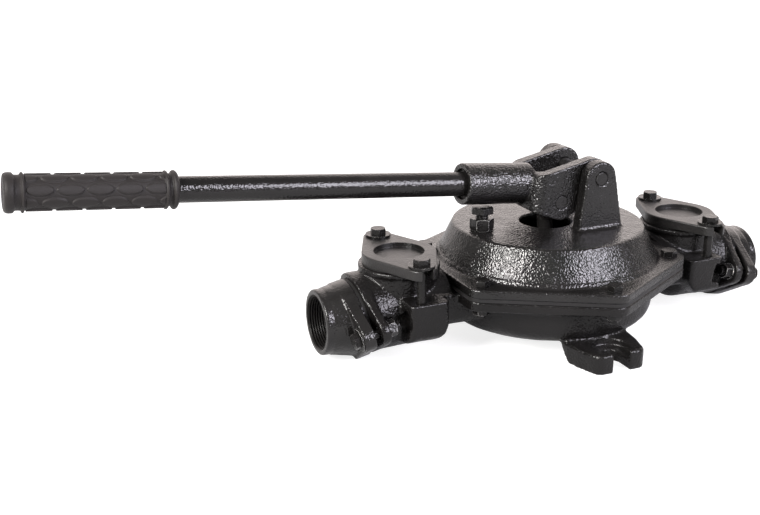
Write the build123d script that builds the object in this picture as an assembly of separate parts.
from build123d import *
import os
from collections import namedtuple
from math import sin, cos, tan, radians, degrees, hypot, sqrt, atan2

# Hand-lever diaphragm bilge pump.  Millimetres, +Z up.
# Origin: on the vertical axis of the pump body, on the plane under the two feet.
# +X runs from the inlet port to the outlet port, the handle lies over the inlet.
# "side" is -1 for the inlet and +1 for the outlet, "end" is -1 or +1 along Y.

SIDES = ((-1, "inlet"), (1, "outlet"))
ENDS = (-1, 1)

# ---------------------------------------------------------------- driving sizes
# hexagonal hardware
HexSize = namedtuple("HexSize", "radius across_flats head nut")
M8 = HexSize(radius=4.0, across_flats=13.0, head=5.3, nut=6.5)
M12 = HexSize(radius=6.0, across_flats=19.0, head=6.0, nut=10.8)
m8_hole_r, m8_thread_hole_r = 4.5, 4.05
clearance = 0.05                     # radial, around pins, nuts and the tube
face_gap = 0.02                      # between hardware and the face it bears on
# top cover
top_z, top_r = 99.1, 87.1            # flat disc on top
cone_r = 101.75                      # cone radius where it meets the flange
wall = 6.0
flange_top_z, flange_t = 68.6, 8.0
membrane_t = 3.0
flange_z = flange_top_z - flange_t   # underside of the cover flange
rim_z = flange_z - membrane_t        # top of the body flange
body_flange_z = rim_z - 8.6          # underside of the body flange
bolt_circle_r, corner_r = 112.6, 14.0
opening_r, opening_x = 23.5, -2.0    # hole the link passes through
inner_r = 91.0                       # cavity radius at the rim, body and cover
# fulcrum
pivot = (28.0, 145.4)                # x, z of the fulcrum pin
ear_y0, ear_y1, ear_top_r = 31.0, 43.0, 15.3
pin_r = 6.0
# lever
link_pin = (-4.0, 123.8)             # x, z of the pin the link hangs from, handle down
arm_y0, arm_y1 = 18.0, 30.0
slot_back = 21.5                     # the slot between the arms ends at minus this x
socket_r, socket_end_x = 18.5, -90.2
bore_x = -40.0                       # blind end of the socket bore
axis_z_at_socket_end = 143.4
rise = radians(5.35)                 # handle climbs towards its grip
tube_r, tube_wall = 10.65, 2.6
grip_start_x, grip_end_x, grip_r = -342.0, -472.6, 16.0
tube_end_x = grip_end_x + 6.0
# stop bolt
stop_x = -68.3
stop_gap = 1.3                       # between the stop bolt and the lever at rest
# link and diaphragm plates
link_shank_r = 7.2
plate_pin, plate_pin_r = (0.0, 59.0), 5.0
plate_r, plate_t, plate_round = 55.0, 4.0, 1.5
membrane_z = 41.0                    # mid-plane of the clamped membrane, handle down
membrane_top = membrane_z + membrane_t / 2
membrane_low = membrane_z - membrane_t / 2
# bowl
bowl_bottom_z, bowl_r, bowl_round, floor_t = 15.0, 98.0, 15.0, 7.0
# valve chests
chest_x, chest_top_z = 150.0, 57.6
chest_x0, chest_x1, chest_y = 126.0, 163.0, 55.0
barrel_r, barrel_x0, barrel_z, barrel_tilt = 36.0, 129.0, 40.8, 2.4
tower_r, seat_r, seat_z = 34.4, 36.4, 79.9
neck_top_r, neck_top_z = 47.4, 72.0  # arched roof of the passage between bowl and chest
chest_bore_r = 25.0
# ports
port_axis_z = 34.7
port_face_x = 190.0                  # flange plane on the port axis
port_lean = radians(12.0)
port_mouth_x = 228.3
collar_r, thread_r, thread_len = 29.0, 24.0, 16.3
thread_end_x = port_mouth_x - thread_len
port_ear_y, port_ear_r = 43.6, 12.0
port_body_r, port_disc_r = 36.6, 35.4
port_body_up, port_disc_up = 2.2, 0.2   # their centres above the port axis
port_back = -9.0                     # inner face of the body's port flange
gasket_t = 2.5
adaptor_face = gasket_t + 12.5       # outer face of the adaptor flange
port_washer_t = 1.6
# valves
flap_up = 2.35                       # valve centre above the port axis, in the flange plane
valve_z = port_axis_z + flap_up * cos(port_lean)
flap_r, flap_t = 22.5, 2.95
weight_r, weight_t = 14.0, 4.0
flap_gap = 0.05                      # flap to its seat and to its weight
rivet_r, rivet_hole_r, rivet_head_r = 2.5, 2.55, 5.0
rivet_flap_head, rivet_weight_head = 2.2, 2.0   # head thickness on either side
seat_bore_r, chamber_r = 17.5, 24.5
# inspection covers
insp_bolt_y = 46.7
insp_z0, insp_z1 = 81.4, 89.9
insp_r, insp_ear_r, insp_slot_w = 33.0, 13.5, 10.4
insp_washer_t = 2.0
# feet
foot_y, foot_t, slot_w, slot_end_y = 129.5, 17.5, 16.5, 112.0

# turn of each hexagon about its own axis, degrees
cover_bolt_turns = [10, 33, 5, 22, 48, 17]
insp_bolt_turns = [8, 35]
port_bolt_turns = [12, 40]

bolt_xy = [(bolt_circle_r * cos(radians(a)), bolt_circle_r * sin(radians(a)))
           for a in range(30, 390, 60)]


# ---------------------------------------------------------------- helpers
def cyl(r, z0, z1, x=0.0, y=0.0):
    return Pos(x, y, (z0 + z1) / 2) * Cylinder(r, z1 - z0)


def cyl_x(r, x0, x1, z):
    return Pos((x0 + x1) / 2, 0, z) * Rot(0, 90, 0) * Cylinder(r, abs(x1 - x0))


def cyl_y(r, y0, y1, x=0.0, z=0.0):
    return Pos(x, (y0 + y1) / 2, z) * Rot(90, 0, 0) * Cylinder(r, abs(y1 - y0))


def box(x0, x1, y0, y1, z0, z1):
    return Pos((x0 + x1) / 2, (y0 + y1) / 2, (z0 + z1) / 2) * Box(
        abs(x1 - x0), abs(y1 - y0), abs(z1 - z0))


def polygon(points):
    return make_face(Polyline(points, close=True))


def hull_face(circles):
    """Face bounded by the convex hull of circles (x, y, r)."""
    edges = []
    for x, y, r in circles:
        edges += (Pos(x, y) * Circle(r)).edges()
    return make_face(make_hull(edges))


def turned(points):
    """Solid of revolution about Z from a closed (r, z) outline."""
    return revolve(Plane.XZ * polygon(points), Axis.Z)


def prism_x(face, x0, x1):
    """Face drawn as (y, z), extruded along X."""
    return Plane(origin=(x0, 0, 0), x_dir=(0, 1, 0), z_dir=(1, 0, 0)) * extrude(face, x1 - x0)


def prism_y(face, y0, y1):
    """Face drawn as (x, z), extruded along Y between y0 and y1."""
    plane = Plane(origin=(0, max(y0, y1), 0), x_dir=(1, 0, 0), z_dir=(0, -1, 0))
    return plane * extrude(face, abs(y1 - y0))


def prism_z(face, z0, z1):
    return Pos(0, 0, z0) * extrude(face, z1 - z0)


def circle_edges(part):
    return part.edges().filter_by(GeomType.CIRCLE)


def hexagon(across_flats, z0, z1, x, y, turn, top=True, low=False):
    """Hexagon prism, its corners rounded off by a cone at the chosen ends."""
    height = z1 - z0
    corner = across_flats / sqrt(3)
    prism = extrude(RegularPolygon(corner, 6), height)
    bevel = 0.55 * (corner - across_flats / 2) + 0.35
    limit = Cylinder(corner + 0.01, height, align=(Align.CENTER, Align.CENTER, Align.MIN))
    if top:
        limit = chamfer(limit.edges().sort_by(Axis.Z)[-1], bevel)
    if low:
        limit = chamfer(limit.edges().sort_by(Axis.Z)[0], bevel)
    return Pos(x, y, z0) * Rot(0, 0, turn) * (prism & limit)


def hex_bolt(size, shank_z, head_z, x, y, turn):
    """Bolt pointing down, the underside of its head at head_z."""
    head = hexagon(size.across_flats, head_z, head_z + size.head, x, y, turn)
    return head + cyl(size.radius, shank_z, head_z + 0.5, x, y)


def hex_nut(size, top, x, y, turn):
    low = top - size.nut
    nut = hexagon(size.across_flats, low, top, x, y, turn, low=True)
    return nut - cyl(size.radius + clearance, low - 2, top + 2, x, y)


def washer(r, hole_r, z0, z1, x, y):
    return cyl(r, z0, z1, x, y) - cyl(hole_r, z0 - 1, z1 + 1, x, y)


def save(name, *shapes):
    solids = []
    for shape in shapes:
        solids += list(shape.solids())
    if len(solids) > 1:
        piece = Compound(children=[Solid(solid.wrapped) for solid in solids])
    else:
        piece = solids[0]
    piece.label = name
    export_step(piece, os.path.join("parts", name + ".step"))


def flange_plate(z0, z1, grow=0.0):
    """Six-cornered flange, a rounded corner around each cover bolt."""
    return prism_z(hull_face([(x, y, corner_r + grow) for x, y in bolt_xy]), z0, z1)


def drill_flange(part, z0, z1):
    for x, y in bolt_xy:
        part = part - cyl(m8_hole_r, z0, z1, x, y)
    return part


def port_plane(side):
    """Flange plane of a port: local y up, local z outward."""
    return Plane(
        origin=(side * port_face_x, 0, port_axis_z),
        x_dir=(0, side, 0),
        z_dir=(side * cos(port_lean), 0, -sin(port_lean)),
    )


def port_slab(side, z0, z1):
    """Large block between two depths of the port plane, for trimming."""
    return port_plane(side) * Pos(0, 0, (z0 + z1) / 2) * Box(400, 400, z1 - z0)


def port_outline(up, r):
    """Disc with an ear at each end of Y, in the port plane."""
    return hull_face([(0, up, r), (port_ear_y, 0, port_ear_r), (-port_ear_y, 0, port_ear_r)])


# ---------------------------------------------------------------- pump body
# one casting: bowl, six-cornered flange, two valve chests with their port
# flanges and two slotted feet

# lower flank of the chest block: y, z
chest_flank = [(chest_y, 29.0), (54.3, 27.0), (52.4, 24.9), (48.8, 22.6), (43.0, 20.2),
               (35.0, 17.8), (26.0, 16.0)]
# side view of the chest block, its inner end turning up to the neck: x, z
chest_side = [(chest_x0 - 1, 60), (chest_x0 - 1, 41), (126.4, 36.5), (128.4, 32.0),
              (131.5, 27.6), (135.5, 23.4), (141, 19), (147, 15),
              (chest_x1 + 1, 15), (chest_x1 + 1, 60)]
# half of the foot in plan, circles: x, y, r
foot_plan = [(28.0, 74.0, 5.0), (27.5, 92.0, 5.0), (24.5, 106.0, 5.5), (16.6, foot_y - 9.0, 9.0)]


def chest_block(side):
    """Block that carries the inspection bolts, with upright flanks."""
    section = polygon([(-chest_y, chest_top_z)] + [(-y, z) for y, z in chest_flank]
                      + [(y, z) for y, z in reversed(chest_flank)] + [(chest_y, chest_top_z)])
    x0, x1 = sorted((side * chest_x0, side * chest_x1))
    block = prism_x(section, x0, x1)
    block = fillet(block.edges().filter_by(Axis.Z), 5)
    return block & prism_y(polygon([(side * x, z) for x, z in chest_side]), -60, 60)


def neck(side):
    """Passage between the bowl and the chest."""
    part = box(side * 88.0, side * (chest_x0 + 6), -41, 41, 27, rim_z - 0.4)
    return fillet([e for e in part.edges().filter_by(Axis.X) if e.center().Z < 28], 10)


def tower(side):
    """Housing under the inspection cover and the arched roof leading to it."""
    x = side * chest_x
    part = cyl(tower_r, chest_top_z - 6, seat_z - 4.0, x)
    part = part + cyl(seat_r, seat_z - 4.6, seat_z, x)
    x0 = side * (bolt_circle_r * cos(radians(30)) + corner_r + 1.2)
    x1 = side * (chest_x - 5)
    arch = cyl_x(neck_top_r, x0, x1, neck_top_z - neck_top_r)
    return part + (arch & box(x0, x1, -36.5, 36.5, rim_z - 12, 80))


def barrel(side):
    """Horizontal barrel out to the port, tilted a little, cut off at the port plane."""
    part = Cylinder(barrel_r, port_face_x + 16 - barrel_x0,
                    align=(Align.CENTER, Align.CENTER, Align.MIN))
    part = fillet(circle_edges(part).sort_by(Axis.Z)[0], 14)
    part = Pos(side * barrel_x0, 0, barrel_z) * Rot(0, side * (90 + barrel_tilt), 0) * part
    return part & port_slab(side, -300, 0)


def chest(side):
    plane = port_plane(side)
    flange = plane * prism_z(port_outline(port_body_up, port_body_r), port_back, -1.4)
    disc = Pos(0, port_body_up) * Circle(port_body_r)
    flange = flange + plane * prism_z(disc, port_back, 0)
    part = chest_block(side) + neck(side) + tower(side) + barrel(side) + flange
    # room for the nuts behind the ears
    room_r, room_z = 9.2, port_back - 28
    for end in ENDS:
        y = end * port_ear_y
        part = part - plane * cyl(room_r, room_z, port_back, y)
        part = part - plane * box(y, end * (port_ear_y + 20), -room_r, room_r,
                                  room_z, port_back)
    return part


def foot(end):
    part = extrude(hull_face([(e * x, y, r) for e in ENDS for x, y, r in foot_plan]), foot_t)
    part = fillet(part.edges().group_by(Axis.Z)[-1], 2.5)
    # underside: flat, rising steeply to the bottom of the bowl
    side_view = polygon([(60, bowl_bottom_z + 0.5), (83, bowl_bottom_z + 0.5), (94, 0),
                         (foot_y + 1, 0), (foot_y + 1, foot_t + 1), (60, foot_t + 1)])
    part = part & prism_x(side_view, -45, 45)
    slot = box(-slot_w / 2, slot_w / 2, slot_end_y, foot_y + 5, -1, 40)
    slot = slot + cyl(slot_w / 2, -1, 40, 0, slot_end_y)
    recess = cyl(16.5, 10.5, 40, 0, slot_end_y)
    part = part - slot - recess
    return part if end > 0 else Rot(0, 0, 180) * part


def cut_passages(body, side):
    """Duct from the bowl, chest bore and port bore."""
    x = side * chest_x
    duct = box(side * 70.0, side * (chest_x - 5), -24, 24, 35, 50.5)
    body = body - fillet(duct.edges().filter_by(Axis.X), 5)
    body = body - cyl(chest_bore_r, valve_z, seat_z + 1, x)
    body = body - Pos(x, 0, valve_z) * Sphere(chest_bore_r)
    bore = cyl_x(chest_bore_r, x, side * (port_face_x + 14), valve_z)
    if side < 0:
        return body - bore
    # the outlet bore stops short of the face, which carries the valve seat
    body = body - (bore & port_slab(side, -308, -8))
    return body - port_plane(side) * cyl(seat_bore_r, -21, 9, 0, flap_up)


def pump_body():
    body = turned([(0, bowl_bottom_z), (bowl_r, bowl_bottom_z), (99.5, rim_z - 4),
                   (99.5, rim_z), (0, rim_z)])
    body = fillet(circle_edges(body).group_by(Axis.Z)[0], bowl_round)
    body = body + flange_plate(body_flange_z, rim_z)
    for side in (-1, 1):
        body = body + chest(side)
    for end in ENDS:
        body = body + foot(end)
    # sloped root between the bowl wall and the flange underside
    body = body + turned([(97, body_flange_z - 5), (99.7, body_flange_z - 5),
                          (104.4, body_flange_z + 0.2), (97, body_flange_z + 0.2)])
    inner_z = bowl_bottom_z + floor_t
    body = body - turned([(0, inner_z), (83, inner_z), (90.5, 29.5), (inner_r, rim_z + 1),
                          (0, rim_z + 1)])
    for side in (-1, 1):
        body = cut_passages(body, side)
    body = drill_flange(body, rim_z - 20, rim_z + 5)
    for side in (-1, 1):
        for end in ENDS:
            body = body - cyl(m8_thread_hole_r, chest_top_z - 19, chest_top_z + 5,
                              side * chest_x, end * insp_bolt_y)
            body = body - port_plane(side) * cyl(m8_hole_r, -17, 7, end * port_ear_y)
    return body


# ---------------------------------------------------------------- top cover
def fulcrum_ear(end):
    face = hull_face([(*pivot, ear_top_r), (8.0, top_z - 1, 1.0), (52.0, top_z - 1, 1.0)])
    ear = prism_y(face, end * ear_y0, end * ear_y1)
    # sloped root along both faces of the ear
    root = 2.4
    for y, outward in ((ear_y0, -1), (ear_y1, 1)):
        toe_y = end * (y + root * outward)
        wedge = polygon([(end * y, top_z - 0.5), (toe_y, top_z - 0.5), (toe_y, top_z),
                         (end * y, top_z + root)])
        ear = ear + prism_x(wedge, 8.5, 51.5)
    return ear


def top_cover():
    cover = turned([(0, flange_z), (cone_r - 2, flange_z), (cone_r, flange_top_z),
                    (top_r, top_z), (0, top_z)])
    cover = fillet(circle_edges(cover).group_by(Axis.Z)[-1], 1.4)
    cover = cover + flange_plate(flange_z, flange_top_z)
    # stepped root of the cone on the flange
    cover = cover + turned([
        (98, flange_top_z - 0.5), (104.0, flange_top_z - 0.5), (102.2, flange_top_z + 1.0),
        (101.0, flange_top_z + 3.6), (98, flange_top_z + 3.6)])
    cover = cover - turned([
        (0, flange_z - 1), (inner_r, flange_z - 1), (inner_r, flange_top_z - 2),
        (top_r - wall - 2, top_z - wall), (0, top_z - wall)])
    for end in ENDS:
        cover = cover + fulcrum_ear(end)
    drill_z0, drill_z1 = top_z - wall - 5, top_z + 3
    cover = cover - cyl(opening_r, drill_z0, drill_z1, opening_x)
    for end in ENDS:
        cover = cover - cyl_y(pin_r + clearance, end * (ear_y0 - 2), end * (ear_y1 + 2), *pivot)
    cover = cover - cyl(M12.radius + clearance, drill_z0, drill_z1, stop_x)
    return drill_flange(cover, flange_z - 5, flange_top_z + 12)


# ---------------------------------------------------------------- diaphragm
def diaphragm_membrane():
    """Flat centre, sloping web and flat rim with the flange's outline."""
    centre_r = 6.6
    web = turned([
        (centre_r, membrane_low), (58, membrane_low), (61.5, membrane_low + 0.8),
        (84.5, rim_z - 0.6), (88.0, rim_z), (108, rim_z),
        (108, flange_z), (87.0, flange_z), (82.6, flange_z - 0.9),
        (60.0, membrane_top + 0.9), (57, membrane_top), (centre_r, membrane_top)])
    rim = flange_plate(rim_z, flange_z, grow=-0.6) - cyl(100, rim_z - 1, flange_z + 1)
    return drill_flange(web + rim, rim_z - 5, flange_z + 5)


def diaphragm_upper_plate():
    """Disc with a boss and two lugs for the lower link pin."""
    disc_top = membrane_top + plate_t
    boss_top = membrane_top + 6.0
    plate = cyl(plate_r, membrane_top, disc_top)
    plate = fillet(circle_edges(plate).group_by(Axis.Z)[-1], plate_round)
    plate = plate + cyl(13, membrane_top + 3, boss_top)
    lug = hull_face([(*plate_pin, 9.5), (-8.5, disc_top, 1.0), (8.5, disc_top, 1.0)])
    for end in ENDS:
        plate = plate + prism_y(lug, end * 9.5, end * 15.0)
    plate = plate - cyl(M12.radius + clearance, membrane_top - 2, membrane_top + 12)
    # keep the pocket under the link's eye open
    plate = plate - box(-12, 12, -9.4, 9.4, boss_top, membrane_top + 30)
    for end in ENDS:
        plate = plate - cyl_y(plate_pin_r + clearance, end * 8, end * 17, *plate_pin)
    return plate


def diaphragm_lower_plate():
    plate = cyl(plate_r, membrane_low - plate_t, membrane_low)
    plate = fillet(circle_edges(plate).group_by(Axis.Z)[0], plate_round)
    return plate - cyl(M12.radius + clearance, membrane_low - 8, membrane_low + 3)


def diaphragm_centre_bolt():
    """Bolt pointing up, its head under the lower plate."""
    seat, head = membrane_low - plate_t, 7.5
    bolt = hexagon(M12.across_flats, seat - head, seat, 0, 0, 0, top=False, low=True)
    return bolt + cyl(M12.radius, seat - 0.5, membrane_top + 5.7)


# ---------------------------------------------------------------- link and pins
def connecting_link():
    """Drawn hanging straight down from its upper eye, then tilted."""
    dx, dz = plate_pin[0] - link_pin[0], plate_pin[1] - link_pin[1]
    length = hypot(dx, dz)
    tilt = degrees(atan2(dx, -dz))
    link = cyl_y(12.0, -17.2, 17.2)
    link = link + cyl_y(9.2, -8.8, 8.8, 0, -length)
    link = link + cyl(link_shank_r, -length + 3, -6)
    link = link + prism_y(hull_face([(0, -2, 9.5), (0, -15, 6.6)]), -8.0, 8.0)
    link = link - cyl_y(pin_r + clearance, -20, 20)
    link = link - cyl_y(plate_pin_r + clearance, -20, 20, 0, -length)
    return Pos(link_pin[0], 0, link_pin[1]) * Rot(0, -tilt, 0) * link


def fulcrum_pin():
    pin = cyl_y(pin_r, -ear_y1 - 0.1, ear_y1 + 0.1, *pivot)
    return chamfer(circle_edges(pin), 0.5)


# ---------------------------------------------------------------- lever
def on_axis(x):
    """Point of the handle axis at a given x."""
    return (x, 0, axis_z_at_socket_end + (socket_end_x - x) * tan(rise))


def along(r, x0, x1):
    """Cylinder on the handle axis from x0 out to x1, x1 nearer the grip end."""
    start, stop = on_axis(x0), on_axis(x1)
    length = hypot(stop[0] - start[0], stop[2] - start[2])
    plane = Plane(origin=start, x_dir=(0, 1, 0), z_dir=(-cos(rise), 0, sin(rise)))
    return plane * Cylinder(r, length, align=(Align.CENTER, Align.CENTER, Align.MIN))


def lever_yoke():
    """Two arms joined at a socket for the handle tube."""
    yoke = prism_y(hull_face([(*pivot, 15.6), (-21.4, 144.6, 6.0), (*link_pin, 16.2),
                              (-27.0, 121.6, 6.0)]), -arm_y1, arm_y1)
    # corners beside the socket rounded, along the slope of that end
    back = Plane(origin=(-27.4, 0, 150.0), x_dir=(0.9887, 0, -0.15), z_dir=(0.15, 0, 0.9887))
    plan = hull_face([(12.0, end * (arm_y1 - 12.0), 12.0) for end in ENDS]
                     + [(95.0, end * (arm_y1 - 2.0), 2.0) for end in ENDS])
    yoke = yoke & (back * Pos(0, 0, -70) * extrude(plan, 110))
    # slot between the arms, open towards +X
    slot_round = 8.0
    yoke = yoke - prism_z(hull_face([
        (x, end * (arm_y0 - slot_round), slot_round)
        for x in (-slot_back + slot_round, 80.0) for end in ENDS]), 60, 200)
    yoke = yoke + along(socket_r, -slot_back - 2.5, socket_end_x)
    yoke = yoke - along(tube_r + 3.0, socket_end_x + 4.0, socket_end_x - 5)
    yoke = yoke - along(tube_r + clearance, bore_x, socket_end_x - 5)
    for pin in (pivot, link_pin):
        yoke = yoke - cyl_y(pin_r + clearance, -40, 40, *pin)
    return yoke


def handle_tube():
    """Tube with closed ends."""
    start_x, end_t = bore_x - 1.0, 3
    tube = along(tube_r, start_x, tube_end_x)
    return tube - along(tube_r - tube_wall, start_x + end_t, tube_end_x - end_t)


def handle_grip():
    """Sleeve with a raised band near each end."""
    grip = along(grip_r - 1.2, grip_start_x, grip_end_x)
    grip = grip + along(grip_r, grip_end_x + 9.0, grip_end_x)
    grip = grip + along(grip_r, grip_start_x - 6.0, grip_start_x)
    return grip - along(tube_r + clearance, grip_start_x + 5, tube_end_x - 0.3)


# ---------------------------------------------------------------- bolts and nuts
def stop_bolt():
    """Its head stands just clear of the underside of the socket."""
    top = (on_axis(stop_x)[2] - socket_r / cos(rise)
           - M12.across_flats / 2 * tan(rise) - stop_gap)
    return hex_bolt(M12, top_z - wall - 3, top - M12.head, stop_x, 0, 7)


def save_cover_bolts():
    bolts, nuts = [], []
    nut_top = body_flange_z - face_gap
    for (x, y), turn in zip(bolt_xy, cover_bolt_turns):
        bolts.append(hex_bolt(M8, nut_top - M8.nut - 3, flange_top_z + face_gap, x, y, turn))
        nuts.append(hex_nut(M8, nut_top, x, y, turn + 20))
    save("cover_bolts", *bolts)
    save("cover_nuts", *nuts)


# ---------------------------------------------------------------- inspection covers
def inspection_cover(side):
    """Dished plate, each ear a fork open outward around its bolt."""
    x, half_slot = side * chest_x, insp_slot_w / 2
    outline = hull_face([(0, 0, insp_r), (0, insp_bolt_y, insp_ear_r),
                         (0, -insp_bolt_y, insp_ear_r)])
    cover = Pos(x, 0, 0) * prism_z(outline, insp_z0, insp_z1)
    cover = fillet(cover.edges().group_by(Axis.Z)[-1], 1.2)
    cover = cover - cyl(22.5, insp_z1 - 4, insp_z1 + 2, x)
    z0, z1 = insp_z0 - 2, insp_z1 + 2
    for end in ENDS:
        y = end * insp_bolt_y
        cover = cover - cyl(half_slot, z0, z1, x, y)
        cover = cover - box(x - half_slot, x + half_slot, y, y + end * 20, z0, z1)
    return cover


def save_inspection(side, name):
    x = side * chest_x
    save(name + "_inspection_cover", inspection_cover(side))
    save(name + "_inspection_gasket", washer(insp_r - 0.4, 25.5, seat_z, insp_z0, x, 0))
    bolts, washers = [], []
    head_z = insp_z1 + insp_washer_t
    for end, turn in zip(ENDS, insp_bolt_turns):
        y = end * insp_bolt_y
        washers.append(washer(11.5, M8.radius + 0.3, insp_z1, head_z, x, y))
        bolts.append(hex_bolt(M8, chest_top_z - 16, head_z, x, y, turn + 20 * side))
    save(name + "_inspection_bolts", *bolts)
    save(name + "_inspection_washers", *washers)


# ---------------------------------------------------------------- ports and valves
def port_adaptor(side):
    """Leaning eared flange with a level threaded collar."""
    plane, mouth_x = port_plane(side), side * port_mouth_x
    part = plane * prism_z(port_outline(port_disc_up, port_disc_r),
                           gasket_t + 2.5, adaptor_face)
    disc = Pos(0, port_disc_up) * Circle(port_disc_r)
    part = part + plane * prism_z(disc, gasket_t, adaptor_face)
    # conical shoulder and collar, level with the port axis
    shoulder = Pos(side * 208, 0, port_axis_z) * Rot(0, side * 90, 0) * Cone(34.6, 29.6, 24)
    collar = cyl_x(collar_r, side * 196, mouth_x, port_axis_z)
    mouth_edges = [e for e in circle_edges(collar) if abs(e.center().X - mouth_x) < 0.1]
    collar = chamfer(mouth_edges, 1.0)
    part = part + ((shoulder + collar) & port_slab(side, gasket_t, gasket_t + 300))
    part = part - cyl_x(thread_r, side * thread_end_x, side * (port_mouth_x + 3), port_axis_z)
    if side < 0:
        throat = plane * cyl(seat_bore_r, -12, 32, 0, flap_up)
        part = part - (throat & box(-240, -160, -60, 60, -20, 120))
        part = part - cyl_x(20.5, -(thread_end_x - 6), -(thread_end_x + 2), port_axis_z)
    else:
        part = part - cyl_x(chamber_r, 170, thread_end_x + 0.5, valve_z)
    for end in ENDS:
        part = part - plane * cyl(m8_hole_r, -7, 23, end * port_ear_y)
    # flat under the flange, level with the feet
    return part - box(-300, 300, -100, 100, -60, 0.1)


def save_valve(side, name):
    """Gasket, and in its plane the flap, weight and rivet."""
    plane = port_plane(side)
    gasket = cyl(34.2, 0, gasket_t, 0, 0.6) - cyl(chamber_r - 0.4, -1, gasket_t + 1, 0, flap_up)
    save(name + "_valve_gasket", plane * gasket)

    # the inlet flap seats on the adaptor, the outlet flap on the body
    if side < 0:
        flap0 = gasket_t - flap_gap - flap_t
        weight0 = flap0 - flap_gap - weight_t
        low, low_head = weight0, rivet_weight_head
        high, high_head = flap0 + flap_t, rivet_flap_head
    else:
        flap0 = flap_gap
        weight0 = flap0 + flap_t + flap_gap
        low, low_head = flap0, rivet_flap_head
        high, high_head = weight0 + weight_t, rivet_weight_head

    # round flap with a tab on top
    face = Pos(0, flap_up, 0) * Circle(flap_r) + Pos(0, flap_up + 19.4, 0) * Rectangle(9, 6.4)
    rivet_hole = cyl(rivet_hole_r, low - 4, high + 4, 0, flap_up)
    save(name + "_flap", plane * (prism_z(face, flap0, flap0 + flap_t) - rivet_hole))

    weight = cyl(weight_r, weight0, weight0 + weight_t, 0, flap_up)
    weight = chamfer(circle_edges(weight), 0.6)
    save(name + "_flap_weight", plane * (weight - rivet_hole))

    z0, z1 = low - low_head, high + high_head
    rivet = cyl(rivet_head_r, z0, low - face_gap, 0, flap_up)
    rivet = rivet + cyl(rivet_head_r, high + face_gap, z1, 0, flap_up)
    rivet = rivet + cyl(rivet_r, z0 + 0.2, z1 - 0.2, 0, flap_up)
    save(name + "_flap_rivet", plane * rivet)


def save_port_bolts(side, name):
    """Two bolts through the ears: washer and head outside, washer and nut inside."""
    plane = port_plane(side)
    bolts, nuts, washers = [], [], []
    head_z = adaptor_face + port_washer_t + face_gap
    inner_washer_z = port_back - face_gap - port_washer_t
    shank_z = port_back - port_washer_t - M8.nut - 3.5
    for end, turn in zip(ENDS, port_bolt_turns):
        y = end * port_ear_y
        washers.append(plane * washer(10.0, 4.3, adaptor_face + face_gap,
                                      adaptor_face + port_washer_t, y, 0))
        bolts.append(plane * hex_bolt(M8, shank_z, head_z, y, 0, turn))
        washers.append(plane * washer(8.0, 4.3, inner_washer_z, port_back - face_gap, y, 0))
        nuts.append(plane * hex_nut(M8, inner_washer_z - face_gap, y, 0, turn + 15))
    save(name + "_port_bolts", *bolts)
    save(name + "_port_nuts", *nuts)
    save(name + "_port_washers", *washers)


# ---------------------------------------------------------------- build
os.makedirs("parts", exist_ok=True)

for make in (pump_body, top_cover, diaphragm_membrane, diaphragm_upper_plate,
             diaphragm_lower_plate, diaphragm_centre_bolt, connecting_link, fulcrum_pin,
             lever_yoke, handle_tube, handle_grip, stop_bolt):
    save(make.__name__, make())
save("diaphragm_link_pin", cyl_y(plate_pin_r, -14.8, 14.8, *plate_pin))
save("lever_link_pin", cyl_y(pin_r, -29.7, 29.7, *link_pin))
save("stop_locknut", hex_nut(M12, top_z + face_gap + M12.nut, stop_x, 0, -23))
save_cover_bolts()
for side, name in SIDES:
    save_inspection(side, name)
    save(name + "_port_adaptor", port_adaptor(side))
    save_valve(side, name)
    save_port_bolts(side, name)
